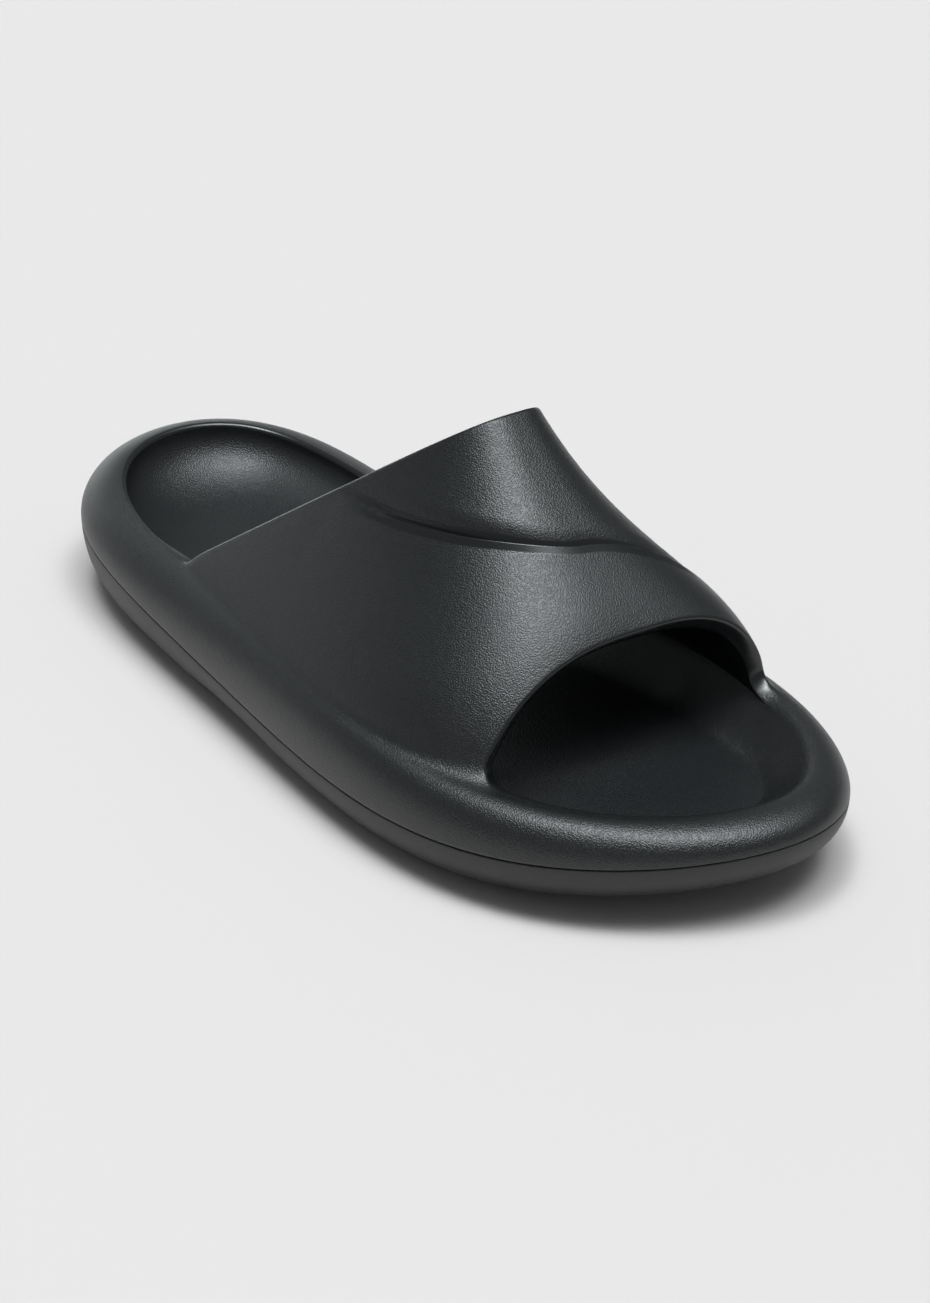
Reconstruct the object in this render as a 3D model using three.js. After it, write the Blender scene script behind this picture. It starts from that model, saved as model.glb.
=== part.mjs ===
// A moulded slide sandal for the right foot, standing on its sole.
// Millimetres: +X runs to the toe, +Y to the inner side of the foot, +Z up from the floor.
import * as THREE from "three";

// Overall sizes
const SHOE_LENGTH = 290;
const SHOE_WIDTH = 117.6;
const PARTING_HEIGHT = 15; // typical height of the line where upper and outsole meet
const RIM_RISE = 15; // typical height of the rim's crest above that line
const RIM_BREADTH = 11; // typical distance from the outline in to the crest
const PIECE_GAP = 0.3;
const RECESS_CLEARANCE = 0.5; // further room round the footbed in the outsole

// Strap
const STRAP_RISE = 63; // rear edge above the rim
const STRAP_WALL = 5;
const STRAP_FOOT = 4.6; // thickness where the strap stands on the rim
const STRAP_EDGE_ROUND = 1.3;
const STRAP_FOOT_BLEND = 0.16; // share of the arch over which foot thickness turns into wall thickness
const FRONT_FLARE = 6; // radius of the corner in which the front edge runs out forward onto the rim

// Crease across the strap
const CREASE_DEPTH = 1.9;
const CREASE_ROLL = 6.5; // breadth of the rear panel's rolled edge
const CREASE_RIDGE = 1.2; // front panel's ridge above the rear panel
const CREASE_RISE = 1; // breadth of the step from groove to ridge
const CREASE_BEVEL = 2.2; // breadth of the bevel in front of the ridge
const CREASE_BEVEL_DROP = 0.4;
const CREASE_FADE = 34; // length over which the front panel sinks back

// Rim lip and footbed
const HEEL_LIP = 1.6; // crest to seam behind the strap
const TOE_LIP = 4; // crest to seam in front of the strap
const LIP_FADE = 24; // length over which the lip changes from the strap's foot to its own breadth
const LIP_DROP = 1.4;
const DISH_DEPTH = 12;
const DISH_WALL = 20; // typical breadth of the dish's sloping wall
const HEEL_FOCUS = 0.17; // share of the length where the dish's lines meet at the heel
const TOE_FOCUS = 0.82; // and at the toe
const DISH_ROOM = 0.85; // most of the way to that meeting point that the wall may take
const FOOTBED_THICKNESS = 5;

// Arch support: its middle and reach along the length, and where it starts and how far it takes to rise
// across the foot, as shares of the length and of half the width
const ARCH_SUPPORT = 2.5;
const ARCH_MIDDLE = 0.42;
const ARCH_REACH = 0.13;
const ARCH_START = -0.1;
const ARCH_RUN = 0.6;

// Ridge under the toes: its line's place on the length, with its slant and bow towards the inner side
const TOE_RIDGE = 0.8;
const TOE_RIDGE_BREADTH = 7;
const TOE_RIDGE_LINE = { middle: 0.765, slant: 0.035, bow: 0.12 };

// Outsole
const TOE_SPRING = 9;
const TOE_SPRING_START = 0.63; // share of the length where the underside starts to rise
const TOE_SPRING_CURVE = 2.1; // exponent of that rise
const HEEL_ROLL = 1.5;
const HEEL_ROLL_END = 0.12; // share of the length where the heel's roll meets the floor
const WAIST_RISE = 1.5;
const WAIST = { from: 0.34, to: 0.55, ramp: 0.08 }; // lifted stretch, as shares of the length
const SIDE_UNDERCUT = 12;
const TREAD_GROOVE = 3;
const TREAD_PITCH = 13;
const TREAD_DEPTH = 2;
const TREAD_DRAFT = 0.5;
const TREAD_MARGIN = 5; // lug ends inside the edge of the flat bottom

// Control sections from heel to toe, blended into smooth curves along the sole.
// half and centre are shares of half the width, parting of PARTING_HEIGHT, rise of RIM_RISE,
// breadth of RIM_BREADTH, depth of DISH_DEPTH and wall of DISH_WALL; roll is 0 for a bowl, 1 for a soft roll.
const SECTIONS = [
  { half: 1.433, centre: 0, parting: 1.576, rise: 0.81, breadth: 1.29, depth: 0.95, wall: 1.3, roll: 0 },
  { half: 1.007, centre: 0.01, parting: 1.295, rise: 0.55, breadth: 1.25, depth: 0.95, wall: 1.4, roll: 0 },
  { half: 0.734, centre: -0.116, parting: 1.03, rise: 0.97, breadth: 1.1, depth: 0.92, wall: 1.2, roll: 0 },
  { half: 0.747, centre: -0.173, parting: 0.838, rise: 1.32, breadth: 0.93, depth: 1, wall: 1, roll: 0.1 },
  { half: 1.029, centre: -0.004, parting: 0.787, rise: 1.26, breadth: 0.78, depth: 1.17, wall: 0.9, roll: 0.6 },
  { half: 1.345, centre: -0.094, parting: 0.953, rise: 0.83, breadth: 0.72, depth: 0.92, wall: 0.6, roll: 1 },
  { half: 1.271, centre: 0.164, parting: 1.425, rise: 0.42, breadth: 0.81, depth: 0.42, wall: 0.45, roll: 1 },
];

// Control rows of the strap from its rear edge to its front edge. lateral and medial are the places of its
// feet and sweep the forward lean of its crown, as shares of the length; rise is a share of STRAP_RISE,
// lean a share of half the width towards the inner side, and flank and crown are the arch's exponents.
const STRAP = [
  { lateral: 0.29, medial: 0.299, sweep: 0.299, rise: 1.0, lean: 0.238, flank: 2.9, crown: 0.75 },
  { lateral: 0.545, medial: 0.557, sweep: 0.15, rise: 0.59, lean: 0.217, flank: 2.84, crown: 1.18 },
  { lateral: 0.82, medial: 0.836, sweep: -0.017, rise: 0.407, lean: 0.133, flank: 2.78, crown: 1.62 },
];

// Angle round the rim's bulge, in degrees, where the strap's outer face starts, for the same rows.
const FOOT = [
  { lateral: 86, medial: 86 },
  { lateral: 60, medial: 60 },
  { lateral: 107, medial: 88 },
];
const TOE_TURN = 0.8; // half the turn round the toe in which one side's angle becomes the other's

// Crease line on the strap: row is 0 at the rear edge and 1 at the front edge,
// turn is 0 at the lateral foot and 1 at the medial foot, strength scales the crease.
const CREASE = [
  { row: 0.0, turn: 0.305, strength: 0.0 },
  { row: 0.5, turn: 0.34, strength: 2.0 },
  { row: 0.55, turn: 0.58, strength: 0.7 },
  { row: 1.0, turn: 0.83, strength: 0.0 },
];

// Tread fields as shares of the length
const TREAD = [
  { from: 0.1, to: 0.33 },
  { from: 0.53, to: 0.88 },
];

// Counts of facets
const HEEL_STATIONS = 11;
const STRAP_ROWS = 22;
const TOE_STATIONS = 11;
const ARCH_STEPS = 30;
const BULGE_SHARES = [0.05, 0.26, 0.5, 0.75, 1];
const DISH_STEPS = [0.25, 0.5, 0.75, 1];
const DISH_COLUMNS = 6;
const SIDE_STEPS = [0.2, 0.45, 0.7, 1];
const CREASE_POINTS = 60;
const CREASE_ROW = 0.45; // row of the strap's facets that follows the crease
const CREASE_FOLLOW = { from: 0.08, rise: 0.22, fall: 0.16, to: 0.98 }; // turns over which it does so
const CREASE_ROW_LIMITS = [0.14, 0.86]; // rows between which it stays

// Small helpers
const clamp = (value, low, high) => Math.min(high, Math.max(low, value));

function smooth(value) {
  const t = clamp(value, 0, 1);
  return t * t * (3 - 2 * t);
}

const mix = (a, b, t) => a + (b - a) * t;

// Bernstein blend of one named column over all rows of a table, at t from 0 to 1.
function blend(rows, column, t) {
  const degree = rows.length - 1;
  let weight = (1 - t) ** degree;
  if (t > 1 - 1e-9) return rows[degree][column];
  let sum = 0;
  rows.forEach((row, i) => {
    sum += weight * row[column];
    weight *= ((degree - i) / (i + 1)) * (t / (1 - t));
  });
  return sum;
}

// Plan of the sole. The angle u runs from the heel (0) round the inner side to the toe (PI) and back.
const HALF_WIDTH = SHOE_WIDTH / 2;
const along = (u) => (1 - Math.cos(u)) / 2;

function rawOutline(u) {
  const s = along(u);
  const y = HALF_WIDTH * (blend(SECTIONS, "centre", s) + Math.sin(u) * blend(SECTIONS, "half", s));
  return new THREE.Vector2((s - 0.5) * SHOE_LENGTH, y);
}

function middleOfBreadth() {
  const breadths = Array.from({ length: 361 }, (_, i) => rawOutline((i * Math.PI) / 180).y);
  return (Math.max(...breadths) + Math.min(...breadths)) / 2;
}
const SIDE_SHIFT = middleOfBreadth();

// A point inside the outline, measured square to it.
function place(u, inset, z) {
  const step = 1e-3;
  const tangent = rawOutline(u + step).sub(rawOutline(u - step)).normalize();
  const at = rawOutline(u);
  return new THREE.Vector3(at.x + tangent.y * inset, at.y - SIDE_SHIFT - tangent.x * inset, z);
}

// Heights and breadths of the sole and rim round the outline
const partingHeight = (s) => PARTING_HEIGHT * blend(SECTIONS, "parting", s);
const rimRise = (s) => RIM_RISE * blend(SECTIONS, "rise", s);
const rimBreadth = (s) => RIM_BREADTH * blend(SECTIONS, "breadth", s);

// Underside of the sole: flat beneath heel and ball, lifted a little between them and rolled up at both ends
function groundHeight(s) {
  const toe = clamp((s - TOE_SPRING_START) / (1 - TOE_SPRING_START), 0, 1);
  const heel = clamp((HEEL_ROLL_END - s) / HEEL_ROLL_END, 0, 1);
  const waist = smooth((s - WAIST.from) / WAIST.ramp) * smooth((WAIST.to - s) / WAIST.ramp);
  return TOE_SPRING * toe ** TOE_SPRING_CURVE + HEEL_ROLL * heel ** 2 + WAIST_RISE * waist;
}

// The strap's feet
const sideOf = (u) => (Math.sin(u) < 0 ? "lateral" : "medial");

function footAngle(side, row) {
  const s = blend(STRAP, side, row);
  const u = Math.acos(1 - 2 * s);
  return side === "lateral" ? 2 * Math.PI - u : u;
}

function strapRow(u) {
  const side = sideOf(u);
  return (along(u) - STRAP[0][side]) / (STRAP[2][side] - STRAP[0][side]);
}

// Where the strap's outer face starts on the rim, and the lip's outer line elsewhere.
function crestPoint(u, share = 1) {
  const s = along(u);
  const row = clamp(strapRow(u), 0, 1);
  const medialShare = smooth((Math.PI - u) / (2 * TOE_TURN) + 0.5);
  const degrees = mix(blend(FOOT, "lateral", row), blend(FOOT, "medial", row), medialShare);
  const angle = share * THREE.MathUtils.degToRad(degrees);
  const inset = rimBreadth(s) * (1 - Math.cos(angle));
  return { inset, z: partingHeight(s) + rimRise(s) * Math.sin(angle) };
}

// Breadth of the lip: the strap's own foot beneath the strap, narrower behind and in front of it.
function lipBreadth(u) {
  const row = strapRow(u);
  const side = sideOf(u);
  const span = (STRAP[2][side] - STRAP[0][side]) * SHOE_LENGTH;
  const outside = Math.max(-row, row - 1, 0) * span;
  return mix(STRAP_FOOT, row < 0.5 ? HEEL_LIP : TOE_LIP, smooth(outside / LIP_FADE));
}

// Where the dish's lines meet: opposite on the centre line, and at heel and toe at one focus each.
function dishFocus(u) {
  const s = clamp(along(u), HEEL_FOCUS, TOE_FOCUS);
  const y = HALF_WIDTH * blend(SECTIONS, "centre", s) - SIDE_SHIFT;
  return new THREE.Vector3((s - 0.5) * SHOE_LENGTH, y, 0);
}

// Breadth of the dish's sloping wall, which stays short of the line's end.
function dishWall(u) {
  const room = place(u, crestPoint(u).inset + lipBreadth(u), 0).distanceTo(dishFocus(u));
  return Math.min(DISH_WALL * blend(SECTIONS, "wall", along(u)), DISH_ROOM * room);
}

// Level of the dish's floor, and its depth below the lip, taken where the wall's foot lies.
function floorLevel(s) {
  return partingHeight(s) + rimRise(s) - LIP_DROP - DISH_DEPTH * blend(SECTIONS, "depth", s);
}

function dishDepth(u) {
  const start = place(u, crestPoint(u).inset + lipBreadth(u), 0);
  const foot = start.add(dishFocus(u).sub(start).setLength(dishWall(u)));
  return crestPoint(u).z - LIP_DROP - floorLevel(foot.x / SHOE_LENGTH + 0.5);
}

// Drop from the crest to a point further in. In a bowl the lip is a quarter-round step and the dish's wall
// another quarter-round, and in a roll one soft curve runs from the crest to the floor.
function innerDrop(u, distance) {
  const lip = lipBreadth(u);
  const wall = dishWall(u);
  const depth = dishDepth(u);
  const step = LIP_DROP * (1 - Math.sqrt(1 - clamp(distance / lip, 0, 1) ** 2));
  const bowl = step + depth * Math.sqrt(1 - (1 - clamp((distance - lip) / wall, 0, 1)) ** 2);
  const soft = (LIP_DROP + depth) * smooth(distance / (lip + wall));
  return mix(bowl, soft, blend(SECTIONS, "roll", along(u)));
}

function seamPoint(u) {
  const crest = crestPoint(u);
  const lip = lipBreadth(u);
  return { inset: crest.inset + lip, z: crest.z - innerDrop(u, lip) };
}

// Quarter-round by which the strap stands back from the tips of its feet, more and more towards the front.
function frontCorner(row, height) {
  const open = 1 - clamp(height / FRONT_FLARE, 0, 1);
  return FRONT_FLARE * row ** 2 * Math.sqrt(1 - open ** 2);
}

// Outer face of the strap without its crease. turn runs from the lateral foot (0) to the medial foot (1).
function archPoint(row, turn) {
  const ends = ["lateral", "medial"].map((side) => {
    const u = footAngle(side, row);
    const crest = crestPoint(u);
    return place(u, crest.inset, crest.z);
  });
  const angle = Math.PI * turn;
  const cosine = Math.cos(angle);
  const across = (1 - Math.sign(cosine) * Math.abs(cosine) ** (2 / blend(STRAP, "flank", row))) / 2;
  const lift = Math.abs(Math.sin(angle)) ** (2 / blend(STRAP, "crown", row));
  const point = ends[0].lerp(ends[1], across);
  const height = STRAP_RISE * blend(STRAP, "rise", row) * lift;
  point.x += SHOE_LENGTH * blend(STRAP, "sweep", row) * lift - frontCorner(row, height);
  point.y += HALF_WIDTH * blend(STRAP, "lean", row) * lift;
  point.z += height;
  return point;
}

// Turns that divide the middle row of the arch into steps of one length.
function evenTurns(steps) {
  const fine = 600;
  const lengths = [0];
  let last = archPoint(0.5, 0);
  for (let i = 1; i <= fine; i += 1) {
    const next = archPoint(0.5, i / fine);
    lengths.push(lengths[i - 1] + last.distanceTo(next));
    last = next;
  }
  return Array.from({ length: steps + 1 }, (_, k) => {
    const wanted = (lengths[fine] * k) / steps;
    const i = clamp(lengths.findIndex((length) => length >= wanted), 1, fine);
    return (i - 1 + (wanted - lengths[i - 1]) / (lengths[i] - lengths[i - 1])) / fine;
  });
}

// Crease line, and the row where it crosses a given turn: beyond its end all rows are behind it
const creaseLine = Array.from({ length: CREASE_POINTS + 1 }, (_, i) => {
  const t = i / CREASE_POINTS;
  const row = blend(CREASE, "row", t);
  const turn = blend(CREASE, "turn", t);
  return { row, turn, strength: blend(CREASE, "strength", t), point: archPoint(row, turn) };
});

function creaseRow(turn) {
  const next = creaseLine.findIndex((mark) => mark.turn > turn);
  if (next === 0) return creaseLine[0].row;
  if (next < 0) return Infinity;
  const [a, b] = [creaseLine[next - 1], creaseLine[next]];
  return mix(a.row, b.row, (turn - a.turn) / (b.turn - a.turn));
}

// Height of the crease's relief: the rear panel rolls down into a groove, a short step rises from it
// to the front panel's ridge, and the front panel falls from there in a bevel and then sinks back.
function creaseHeight(row, turn) {
  const point = archPoint(row, turn);
  const nearest = new THREE.Vector3();
  let distance = Infinity;
  let strength = 0;
  for (let i = 0; i < CREASE_POINTS; i += 1) {
    const [a, b] = [creaseLine[i], creaseLine[i + 1]];
    new THREE.Line3(a.point, b.point).closestPointToPoint(point, true, nearest);
    const reach = nearest.distanceTo(point);
    if (reach < distance) {
      distance = reach;
      strength = a.strength;
    }
  }
  const rolled = clamp(1 - distance / CREASE_ROLL, 0, 1) ** 2;
  if (row < creaseRow(turn)) return -strength * CREASE_DEPTH * rolled;
  const beyondRidge = distance - CREASE_RISE;
  const rise = (CREASE_DEPTH + CREASE_RIDGE) * smooth(distance / CREASE_RISE);
  const bevel = CREASE_BEVEL_DROP * clamp(beyondRidge / CREASE_BEVEL, 0, 1);
  const sink = (CREASE_RIDGE - CREASE_BEVEL_DROP) * smooth((beyondRidge - CREASE_BEVEL) / CREASE_FADE);
  return strength * (rise - CREASE_DEPTH - bevel - sink);
}

function archNormal(row, turn) {
  const step = 2e-3;
  const alongRow = archPoint(Math.min(1, row + step), turn).sub(archPoint(Math.max(0, row - step), turn));
  const alongTurn = archPoint(row, Math.min(1, turn + step)).sub(archPoint(row, Math.max(0, turn - step)));
  return alongRow.cross(alongTurn).normalize();
}

// Rows of facets lean over so that one of them follows the crease.
function leaningRow(row, turn) {
  const { from, rise, fall, to } = CREASE_FOLLOW;
  const follow = smooth((turn - from) / rise) * smooth((to - turn) / fall);
  const tent = row < CREASE_ROW ? row / CREASE_ROW : (1 - row) / (1 - CREASE_ROW);
  return row + follow * tent * (clamp(creaseRow(turn), ...CREASE_ROW_LIMITS) - CREASE_ROW);
}

// Both faces of the strap at a facet corner
function strapFaces(facetRow, turn) {
  const row = leaningRow(facetRow, turn);
  const side = turn < 0.5 ? "lateral" : "medial";
  const u = footAngle(side, row);
  const crest = crestPoint(u);
  const seam = seamPoint(u);
  const base = archPoint(row, turn);
  const foot = place(u, seam.inset, seam.z).sub(place(u, crest.inset, crest.z)).add(base);
  const nearFoot = Math.min(turn, 1 - turn);
  if (nearFoot < 1e-6) return { outer: base, inner: foot };
  const normal = archNormal(row, turn);
  const wall = base.clone().addScaledVector(normal, -STRAP_WALL);
  const ends = smooth(nearFoot / STRAP_FOOT_BLEND);
  return {
    outer: base.clone().addScaledVector(normal, creaseHeight(row, turn) * ends),
    inner: foot.lerp(wall, ends),
  };
}

// Closed bodies are collected here as corners and triangles.
class Body {
  constructor() {
    this.corners = [];
    this.faces = [];
  }

  add(point) {
    this.corners.push(point);
    return this.corners.length - 1;
  }

  quad(a, b, c, d) {
    this.faces.push(a, b, c, a, c, d);
  }

  mesh(name, material) {
    const geometry = new THREE.BufferGeometry().setFromPoints(this.corners);
    geometry.setIndex(this.faces);
    geometry.computeVertexNormals();
    const mesh = new THREE.Mesh(geometry, material);
    mesh.name = name;
    return mesh;
  }
}

// Bands between neighbouring closed loops of a body.
function addBands(body, loops) {
  for (let r = 0; r + 1 < loops.length; r += 1) {
    loops[r].forEach((corner, i) => {
      const next = (i + 1) % loops[r].length;
      body.quad(corner, loops[r][next], loops[r + 1][next], loops[r + 1][i]);
    });
  }
}

// A floor inside a loop: strips from the lateral to the medial side, closed by fans at heel and toe.
function addFloor(body, loop, columns, height, facesUp) {
  const half = loop.length / 2;
  const strips = [];
  for (let i = 1; i < half; i += 1) {
    const [from, to] = [loop[loop.length - i], loop[i]];
    const strip = [from];
    for (let c = 1; c < columns; c += 1) {
      const point = body.corners[from].clone().lerp(body.corners[to], c / columns);
      strip.push(body.add(point.setZ(height(point))));
    }
    strips.push([...strip, to]);
  }
  const face = (a, b, c) => body.faces.push(...(facesUp ? [a, b, c] : [a, c, b]));
  const last = strips[strips.length - 1];
  for (let c = 0; c < columns; c += 1) {
    face(loop[0], strips[0][c], strips[0][c + 1]);
    face(last[c], loop[half], last[c + 1]);
    for (let i = 0; i + 1 < strips.length; i += 1) {
      const [a, b] = [strips[i], strips[i + 1]];
      face(a[c], b[c], b[c + 1]);
      face(a[c], b[c + 1], a[c + 1]);
    }
  }
}

// Angles round the outline, the same number on each side, with the strap's feet on stations of their own.
function roundStations() {
  const sides = ["medial", "lateral"].map((side) => {
    const start = Math.acos(1 - 2 * STRAP[0][side]);
    const end = Math.acos(1 - 2 * STRAP[2][side]);
    const angles = [];
    for (let i = 1; i < HEEL_STATIONS; i += 1) angles.push((start * i) / HEEL_STATIONS);
    for (let j = 0; j <= STRAP_ROWS; j += 1) {
      angles.push(Math.acos(1 - 2 * blend(STRAP, side, j / STRAP_ROWS)));
    }
    for (let i = 1; i < TOE_STATIONS; i += 1) angles.push(mix(end, Math.PI, i / TOE_STATIONS));
    return angles;
  });
  const lateral = sides[1].map((u) => 2 * Math.PI - u).reverse();
  return [0, ...sides[0], Math.PI, ...lateral];
}
const STATIONS = roundStations();

const loopOf = (body, stations, corner) => stations.map((u) => body.add(corner(u)));

// Upper: a ring whose outer bulge is the rim, and the strap that stands on it, moulded whole
function makeUpper(material) {
  const body = new Body();
  const underside = (u) => partingHeight(along(u)) + PIECE_GAP / 2;
  const bulge = BULGE_SHARES.map((share) =>
    loopOf(body, STATIONS, (u) => {
      const crest = crestPoint(u, share);
      return place(u, crest.inset, Math.max(crest.z, underside(u)));
    }),
  );
  const outerLine = bulge[bulge.length - 1];
  const seamLine = loopOf(body, STATIONS, (u) => place(u, seamPoint(u).inset, seamPoint(u).z));
  const innerFoot = loopOf(body, STATIONS, (u) => place(u, seamPoint(u).inset, underside(u)));
  const outerFoot = loopOf(body, STATIONS, (u) => place(u, PIECE_GAP, underside(u)));

  const firstMedial = HEEL_STATIONS;
  const firstLateral = STATIONS.length - HEEL_STATIONS - STRAP_ROWS;
  const feet = {
    medial: Array.from({ length: STRAP_ROWS + 1 }, (_, j) => firstMedial + j),
    lateral: Array.from({ length: STRAP_ROWS + 1 }, (_, j) => firstLateral + STRAP_ROWS - j),
  };
  const covered = new Set([...feet.medial.slice(1, -1), ...feet.lateral.slice(1, -1)]);
  const crownLine = STATIONS.map((u, i) => {
    if (covered.has(i)) return -1;
    const crest = crestPoint(u);
    const half = lipBreadth(u) / 2;
    return body.add(place(u, crest.inset + half, crest.z - innerDrop(u, half)));
  });
  const band = (lower, upper, i) => {
    const next = (i + 1) % STATIONS.length;
    body.quad(lower[i], upper[i], upper[next], lower[next]);
  };
  STATIONS.forEach((_, i) => {
    for (let r = 0; r + 1 < bulge.length; r += 1) band(bulge[r], bulge[r + 1], i);
    const next = (i + 1) % STATIONS.length;
    const underStrap = Object.values(feet).some((foot) => foot.includes(i) && foot.includes(next));
    if (!underStrap) {
      band(outerLine, crownLine, i);
      band(crownLine, seamLine, i);
    }
    band(seamLine, innerFoot, i);
    band(innerFoot, outerFoot, i);
    band(outerFoot, bulge[0], i);
  });

  const turns = evenTurns(ARCH_STEPS);
  const hoop = (side) => [
    ...feet[side].map((i) => outerLine[i]),
    crownLine[feet[side][STRAP_ROWS]],
    ...feet[side].map((i) => seamLine[i]).reverse(),
    crownLine[feet[side][0]],
  ];
  const edgePoint = (faces, beside, turn) => {
    const middle = faces.outer.clone().add(faces.inner).multiplyScalar(0.5);
    const out = faces.outer.clone().sub(beside.outer).normalize();
    const reach = STRAP_EDGE_ROUND * smooth(Math.min(turn, 1 - turn) / STRAP_FOOT_BLEND);
    return middle.addScaledVector(out, reach);
  };
  const hoops = turns.map((turn, k) => {
    if (k === 0) return hoop("lateral");
    if (k === ARCH_STEPS) return hoop("medial");
    const faces = Array.from({ length: STRAP_ROWS + 1 }, (_, j) => strapFaces(j / STRAP_ROWS, turn));
    const outer = faces.map((both) => body.add(both.outer));
    const front = body.add(edgePoint(faces[STRAP_ROWS], faces[STRAP_ROWS - 1], turn));
    const inner = faces.map((both) => body.add(both.inner)).reverse();
    const rear = body.add(edgePoint(faces[0], faces[1], turn));
    return [...outer, front, ...inner, rear];
  });
  addBands(body, hoops);
  return body.mesh("upper", material);
}

// Footbed: a dish whose wall drops from the seam to a floor with an arch support and a toe ridge.
// Its lines run from the seam straight to the centre line, and at heel and toe to one focus.
function dishPoint(u, share) {
  const from = place(u, seamPoint(u).inset + PIECE_GAP, 0);
  const angle = (share * Math.PI) / 2;
  const run = mix(1 - Math.cos(angle), share, blend(SECTIONS, "roll", along(u)));
  const reach = dishWall(u) * run;
  const point = from.add(dishFocus(u).sub(from).setLength(reach));
  const lift = floorLift(point) * smooth(share);
  return point.setZ(crestPoint(u).z - innerDrop(u, lipBreadth(u) + reach) + lift);
}

function floorLift(point) {
  const s = point.x / SHOE_LENGTH + 0.5;
  const inner = point.y / HALF_WIDTH;
  const archAlong = Math.exp(-(((s - ARCH_MIDDLE) / ARCH_REACH) ** 2));
  const archAcross = smooth((inner - ARCH_START) / ARCH_RUN);
  const ridgeLine = TOE_RIDGE_LINE.middle + TOE_RIDGE_LINE.slant * inner - TOE_RIDGE_LINE.bow * inner ** 2;
  const ridgeAway = ((s - ridgeLine) * SHOE_LENGTH) / TOE_RIDGE_BREADTH;
  return ARCH_SUPPORT * archAlong * archAcross + TOE_RIDGE * Math.exp(-(ridgeAway ** 2));
}

const floorHeight = (point) => floorLevel(point.x / SHOE_LENGTH + 0.5) + floorLift(point);

// Floor of the outsole's recess: one height across the sole, below the lower side of the dish
const recessHeight = (u) => Math.min(dishPoint(u, 1).z, dishPoint(2 * Math.PI - u, 1).z) - FOOTBED_THICKNESS;

function makeFootbed(material) {
  const body = new Body();
  const dish = [...DISH_STEPS].reverse().map((share) =>
    loopOf(body, STATIONS, (u) => dishPoint(u, share)),
  );
  const edge = (u) => seamPoint(u).inset + PIECE_GAP;
  const top = loopOf(body, STATIONS, (u) => place(u, edge(u), seamPoint(u).z));
  const bottom = loopOf(body, STATIONS, (u) => place(u, edge(u), recessHeight(u) + PIECE_GAP));
  addBands(body, [...dish, top, bottom]);
  addFloor(body, dish[0], DISH_COLUMNS, floorHeight, true);
  addFloor(body, bottom, 1, (point) => point.z, false);
  return body.mesh("footbed", material);
}

// Outsole: a shallow tray with a recess for the footbed, undercut sides, toe spring and cross grooves
function treadStations() {
  const marks = [];
  TREAD.forEach((field) => {
    const grooves = Math.floor(((field.to - field.from) * SHOE_LENGTH) / TREAD_PITCH);
    const middle = ((field.from + field.to) / 2) * SHOE_LENGTH;
    for (let g = 0; g < grooves; g += 1) {
      const centre = middle + (g - (grooves - 1) / 2) * TREAD_PITCH;
      const half = TREAD_GROOVE / 2;
      marks.push({ x: centre - half - TREAD_DRAFT, cut: 0 });
      marks.push({ x: centre - half, cut: 1 });
      marks.push({ x: centre + half, cut: 1 });
      marks.push({ x: centre + half + TREAD_DRAFT, cut: 0 });
    }
  });
  const plain = Array.from({ length: 29 }, (_, i) => SHOE_LENGTH * along((Math.PI * (i + 1)) / 30));
  plain.forEach((x) => {
    const clear = marks.every((mark) => Math.abs(mark.x - x) > TREAD_GROOVE);
    if (clear) marks.push({ x, cut: 0 });
  });
  marks.sort((a, b) => a.x - b.x);
  return marks.map((mark) => ({ u: Math.acos(1 - (2 * mark.x) / SHOE_LENGTH), cut: mark.cut }));
}

function makeOutsole(material) {
  const body = new Body();
  const marks = treadStations();
  const lateral = marks.map((mark) => 2 * Math.PI - mark.u).reverse();
  const stations = [0, ...marks.map((mark) => mark.u), Math.PI, ...lateral];
  const cuts = [0, ...marks.map((mark) => mark.cut), 0, ...marks.map((mark) => mark.cut).reverse()];
  const shelf = (u) => partingHeight(along(u)) - PIECE_GAP / 2;
  const recessWall = (u) => seamPoint(u).inset - RECESS_CLEARANCE;
  const recess = loopOf(body, stations, (u) => place(u, recessWall(u), recessHeight(u)));
  const shelfInner = loopOf(body, stations, (u) => place(u, recessWall(u), shelf(u)));
  const shelfOuter = loopOf(body, stations, (u) => place(u, PIECE_GAP, shelf(u)));
  const side = SIDE_STEPS.map((share) =>
    loopOf(body, stations, (u) => {
      const angle = (share * Math.PI) / 2;
      const ground = groundHeight(along(u));
      return place(u, SIDE_UNDERCUT * (1 - Math.cos(angle)), shelf(u) - (shelf(u) - ground) * Math.sin(angle));
    }),
  );
  const brow = loopOf(body, stations, (u) => place(u, 0, shelf(u) - PIECE_GAP));
  const lugEnd = (offset, depth) =>
    stations.map((u, i) =>
      body.add(place(u, SIDE_UNDERCUT + TREAD_MARGIN + offset, groundHeight(along(u)) + depth * cuts[i])),
    );
  const margin = lugEnd(0, 0);
  const floor = lugEnd(TREAD_DRAFT, TREAD_DEPTH);
  addBands(body, [recess, shelfInner, shelfOuter, brow, ...side, margin, floor]);
  addFloor(body, recess, 1, (point) => point.z, true);
  addFloor(body, floor, 1, (point) => point.z, false);
  return body.mesh("outsole", material);
}

// Materials and assembly
const moulded = (color, roughness) => new THREE.MeshStandardMaterial({ color, roughness, metalness: 0 });
const group = new THREE.Group();
group.name = "slide_sandal";
group.add(makeUpper(moulded(0x26292b, 0.5)));
group.add(makeFootbed(moulded(0x23262a, 0.55)));
group.add(makeOutsole(moulded(0x2a2b2e, 0.6)));

export default group;
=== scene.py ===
import math
from typing import NamedTuple

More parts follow.
